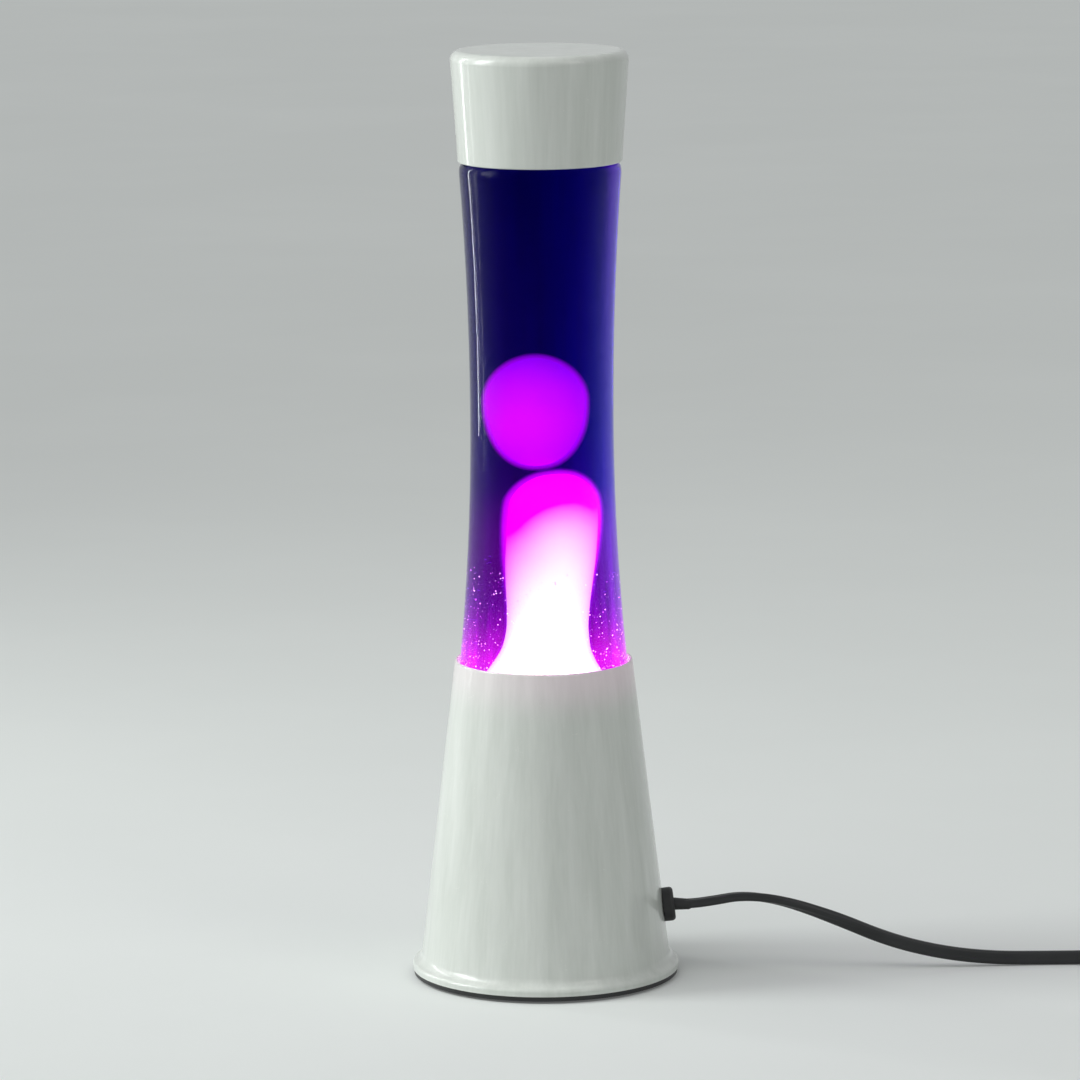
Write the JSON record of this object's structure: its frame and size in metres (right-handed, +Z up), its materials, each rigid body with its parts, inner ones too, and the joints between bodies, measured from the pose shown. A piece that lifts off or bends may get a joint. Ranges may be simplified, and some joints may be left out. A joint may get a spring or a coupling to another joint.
{
  "type": "liquid motion lamp",
  "caption": "Tabletop liquid motion lamp: a waisted bottle of tinted liquid and wax stands in a spun metal base over a reflector bulb, with a lift-off cap, a cord and a rocker switch.",
  "frame": {"origin": "on the table, under the middle of the base", "axes": "+Z up through the middle of the base, the bottle and the cap; +X towards the cord's exit"},
  "size_m": [0.4901, 0.113, 0.393],
  "materials": {
    "ivory_paint": "gloss",
    "steel": "satin",
    "zinc_screws": "satin",
    "brass": "satin",
    "black_plastic": "satin",
    "black_rubber": "matte",
    "cord_sheath": "matte",
    "live_sheath": "matte",
    "neutral_sheath": "matte",
    "porcelain": "gloss",
    "bottle_glass": "clear",
    "tinted_liquid": "clear",
    "wax": "satin",
    "bulb_glass": "mirrored below, frosted above",
    "bulb_metal": "satin",
    "black_glass": "gloss",
    "tungsten": "satin",
    "crown_tin": "gloss",
    "white_plastic": "satin",
    "sealing_plastic": "matte",
    "nickel_pins": "polished"
  },
  "bodies": {
    "base": {"base_shell": "ivory_paint", "bottle_cradle": "steel", "bottom_plate": "black_plastic", "rubber_feet": "black_rubber", "plate_tabs": "steel", "plate_screws": "zinc_screws", "holder_bracket": "steel", "bracket_screws": "zinc_screws", "holder_screws": "zinc_screws", "lampholder_body": "porcelain", "screw_shell": "brass", "centre_contact": "brass", "holder_terminals": "brass", "live_wire": "live_sheath", "neutral_wire": "neutral_sheath", "cord_gland": "black_rubber", "gland_nut": "black_plastic", "cord_sheath_end": "cord_sheath", "cord_lead": "cord_sheath", "cord_tail": "cord_sheath", "cord_coil": "cord_sheath", "cord_end": "cord_sheath", "switch_lower_case": "black_plastic", "switch_upper_case": "black_plastic", "switch_screws": "zinc_screws", "switch_terminals": "brass", "switch_wires": "neutral_sheath", "plug_body": "black_plastic", "plug_pins": "nickel_pins", "pin_sleeves": "black_plastic"},
    "rocker": {"switch_rocker": "black_plastic", "switch_contact_bridge": "brass"},
    "bulb": {"bulb_envelope": "bulb_glass", "bulb_cap": "bulb_metal", "bulb_insulator": "black_glass", "bulb_tip_contact": "bulb_metal", "bulb_stem": "bulb_glass", "bulb_supports": "tungsten", "bulb_filament": "tungsten"},
    "bottle": {"bottle_glass": "bottle_glass", "crown_cap": "crown_tin", "crown_liner": "sealing_plastic", "tinted_liquid": "tinted_liquid", "wax_column": "wax", "heating_ring": "steel"},
    "free_wax": {"wax_ball": "wax"},
    "cap": {"top_cap": "ivory_paint", "cap_insert": "white_plastic"}
  },
  "joints": [
    {"name": "switch_rock", "type": "hinge", "parent": "base", "child": "rocker", "pos_m": [0.3071, -0.0179, 0.0095], "axis": [-0.342, -0.9397, 0], "range_deg": [0, 18]},
    {"name": "bulb_out", "type": "slide", "parent": "base", "child": "bulb", "axis": [0, 0, 1], "range_m": [0, 0.013]},
    {"name": "bottle_lift", "type": "slide", "parent": "base", "child": "bottle", "axis": [0, 0, 1], "range_m": [0, 0.06]},
    {"name": "wax_rise", "type": "slide", "parent": "bottle", "child": "free_wax", "axis": [0, 0, 1], "range_m": [0, 0.075]},
    {"name": "cap_lift", "type": "slide", "parent": "bottle", "child": "cap", "axis": [0, 0, 1], "range_m": [0, 0.05]}
  ]
}
